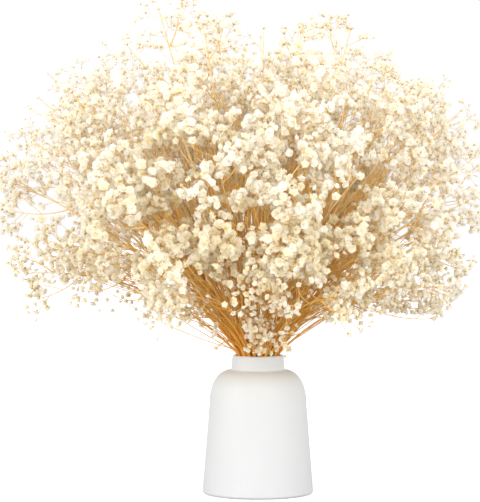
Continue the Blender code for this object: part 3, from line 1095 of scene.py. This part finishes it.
def floret_mesh(name, rng, width, height):
    """One floret of unit radius that faces +Z, with each point's place from cup to petal edge."""
    work = bmesh.new()
    petal = work.verts.layers.float.new("petal")
    across = work.verts.layers.float.new("across")

    def vertex(radius, angle, lift, place, side):
        flat = radius * width
        made = work.verts.new((flat * math.cos(angle), flat * math.sin(angle), lift * height))
        made[petal] = place
        made[across] = side
        return made

    for lobes, middle_radius, edge_radius, root_lift, middle_lift, edge_lift in WHORLS:
        count, turned = lobes * 2, rng.uniform(0, math.tau)
        root = vertex(0, 0, root_lift, ROOT_PLACE, 0.5)
        middles, edges = [], []
        for step in range(count):
            angle = turned + math.tau * step / count + rng.uniform(-TURN_SPREAD, TURN_SPREAD)
            reach = edge_radius * (NOTCH if step % 2 else 1.0) * rng.uniform(*LENGTH_SPREAD)
            lift = edge_lift + rng.uniform(-RUFFLE, RUFFLE)
            edges.append(vertex(reach, angle, lift, EDGE_PLACE, step % 2))
            if middle_radius and step % 2 == 0:
                lift = middle_lift + rng.uniform(-RUFFLE, RUFFLE) / 2
                middles.append(vertex(middle_radius, angle, lift, MIDDLE_PLACE, 0.5))
        for step in range(0, count, 2):
            notch, onward = edges[step + 1], edges[(step + 2) % count]
            if middles:
                here, there = middles[step // 2], middles[(step // 2 + 1) % lobes]
                work.faces.new((root, here, there))
                work.faces.new((here, edges[step], notch))
                work.faces.new((here, notch, there))
                work.faces.new((there, notch, onward))
            else:
                work.faces.new((root, edges[step], notch))
                work.faces.new((root, notch, onward))
    foot = vertex(0, 0, CUP[2], FOOT_PLACE, 0.5)
    rim = []
    for step in range(CUP_SIDES):
        rim.append(vertex(CUP[0], math.tau * step / CUP_SIDES, CUP[1], RIM_PLACE, step % 2))
    for step in range(CUP_SIDES):
        work.faces.new((foot, rim[(step + 1) % CUP_SIDES], rim[step]))
    mesh = bpy.data.meshes.new(name)
    work.to_mesh(mesh)
    work.free()
    mesh.shade_smooth()
    return mesh


floret_rng = random.Random(FLORET_SEED)
floret_kinds = bpy.data.collections.new("floret_kinds")
for number in range(OPEN_KINDS + CLOSED_KINDS):
    name = f"floret_{number}"
    width, height = (1.0, 1.0) if number < OPEN_KINDS else (CLOSED_WIDTH, CLOSED_HEIGHT)
    floret_kinds.objects.link(bpy.data.objects.new(name, floret_mesh(name, floret_rng, width, height)))

floret_tree, given = new_tree("florets", {"Florets": "NodeSocketCollection", "Finish": "NodeSocketMaterial"})
facing = add(floret_tree, "GeometryNodeInputNamedAttribute", {"Name": "facing"}, data_type="FLOAT_VECTOR")
kind = add(floret_tree, "GeometryNodeInputNamedAttribute", {"Name": "kind"}, data_type="INT")
stored = {
    name: add(floret_tree, "GeometryNodeInputNamedAttribute", {"Name": name}, data_type="FLOAT")
    for name in ("turned", "size", "tint", "across", "petal")
}
faced = add(floret_tree, "FunctionNodeAlignRotationToVector", {"Vector": facing}, axis="Z")
spun = add(floret_tree, "FunctionNodeAxisAngleToRotation", {"Axis": (0, 0, 1), "Angle": stored["turned"]})
stance = add(
    floret_tree,
    "FunctionNodeRotateRotation",
    {"Rotation": faced, "Rotate By": spun},
    rotation_space="LOCAL",
)
kinds = add(
    floret_tree,
    "GeometryNodeCollectionInfo",
    {"Collection": given.outputs["Florets"], "Separate Children": True, "Reset Children": True},
)
set_florets = add(
    floret_tree,
    "GeometryNodeInstanceOnPoints",
    {
        "Points": given.outputs["Geometry"],
        "Instance": kinds,
        "Pick Instance": True,
        "Instance Index": kind,
        "Rotation": stance,
        "Scale": stored["size"],
    },
)
real_florets = add(floret_tree, "GeometryNodeRealizeInstances", {"Geometry": set_florets})
mapped = map_tones(floret_tree, real_florets, stored["tint"], stored["across"], stored["petal"])
plain = add(floret_tree, "GeometryNodeSetMaterial", {"Geometry": mapped, "Material": given.outputs["Finish"]})
add(floret_tree, "NodeGroupOutput", {"Geometry": plain})

# Dried petal: thin matt paper that lets light through, cream at its edge and golden towards the cup.
petal_finish, petal_tree = finish("dried_gypsophila_petal")
petal_map = add(petal_tree, "ShaderNodeUVMap", uv_map="OFBake")
petal_uv = add(petal_tree, "ShaderNodeSeparateXYZ", {"Vector": petal_map})
# The aged colours paint shade on the florets in the middle of the bunch, the fresh ones paint light on the
# outer ones
aged_and_shaded = colour_row(petal_tree, petal_uv.outputs["Y"], PETAL_STOPS, AGED_AND_SHADED_HEX)
fresh_and_lit = colour_row(petal_tree, petal_uv.outputs["Y"], PETAL_STOPS, FRESH_AND_LIT_HEX)
petal_colour = add(
    petal_tree,
    "ShaderNodeMix",
    {"Factor": petal_uv.outputs["X"], "A": aged_and_shaded, "B": fresh_and_lit},
    data_type="RGBA",
)
petal_skin = bumpy_skin(petal_tree, CREASE_MM, CREASE_STRENGTH, CREASE_DEPTH, Detail=2)
paper = add(
    petal_tree,
    "ShaderNodeBsdfPrincipled",
    {"Base Color": petal_colour, "Roughness": PETAL_ROUGHNESS, "Normal": petal_skin},
)
petal_glow = add(petal_tree, "ShaderNodeBsdfTranslucent", {"Color": petal_colour, "Normal": petal_skin})
sheet = add(petal_tree, "ShaderNodeMixShader", {"Fac": PETAL_GLOW})
petal_tree.links.new(paper.outputs["BSDF"], sheet.inputs[1])
petal_tree.links.new(petal_glow.outputs["BSDF"], sheet.inputs[2])
add(petal_tree, "ShaderNodeOutputMaterial", {"Surface": sheet})


def floret_points(dressed, rng):
    """A point for each floret of a spray, with the way it faces, its size, its kind and its tint."""
    spray_tint = rng.uniform(*SPRAY_TINT)
    facings, sizes, kinds, turns, tints = [], [], [], [], []
    for place, facing, size in dressed["florets"]:
        facings.extend(facing)
        closed = rng.random() < CLOSED_SHARE
        kinds.append(rng.randrange(CLOSED_KINDS) + OPEN_KINDS if closed else rng.randrange(OPEN_KINDS))
        sizes.append(size)
        turns.append(rng.uniform(0, math.tau))
        # Painted shade and light: the tint falls towards the middle of the bunch, so inner florets are deeper
        # golden and outer ones paler
        outward = ((place - MOUTH).length - SHADE_TINT_MIDDLE) * SHADE_TINT_RISE
        tint = spray_tint + outward + rng.uniform(-TINT_SPREAD, TINT_SPREAD)
        tints.append(min(max(tint, TINT_LIMITS[0]), TINT_LIMITS[1]))
    mesh = bpy.data.meshes.new("points")
    mesh.from_pydata([place for place, _, _ in dressed["florets"]], [], [])
    mesh.attributes.new("facing", "FLOAT_VECTOR", "POINT").data.foreach_set("vector", facings)
    mesh.attributes.new("kind", "INT", "POINT").data.foreach_set("value", kinds)
    for name, values in (("size", sizes), ("turned", turns), ("tint", tints)):
        mesh.attributes.new(name, "FLOAT", "POINT").data.foreach_set("value", values)
    return mesh


tint_rng = random.Random(FLORET_SEED)
floret_sizes = {"Florets": floret_kinds, "Finish": petal_finish}
for dressed in bunch:
    mesh = set_out(floret_points(dressed, tint_rng), floret_tree, floret_sizes)
    florets = stand_object(dressed["name"] + "_florets", mesh)
    bunch_lit.objects.link(florets)
    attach(florets, "root")
    if dressed["node"]:
        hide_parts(dressed["node"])

for obj in list(floret_kinds.objects):
    bpy.data.objects.remove(obj)
bpy.data.collections.remove(floret_kinds)
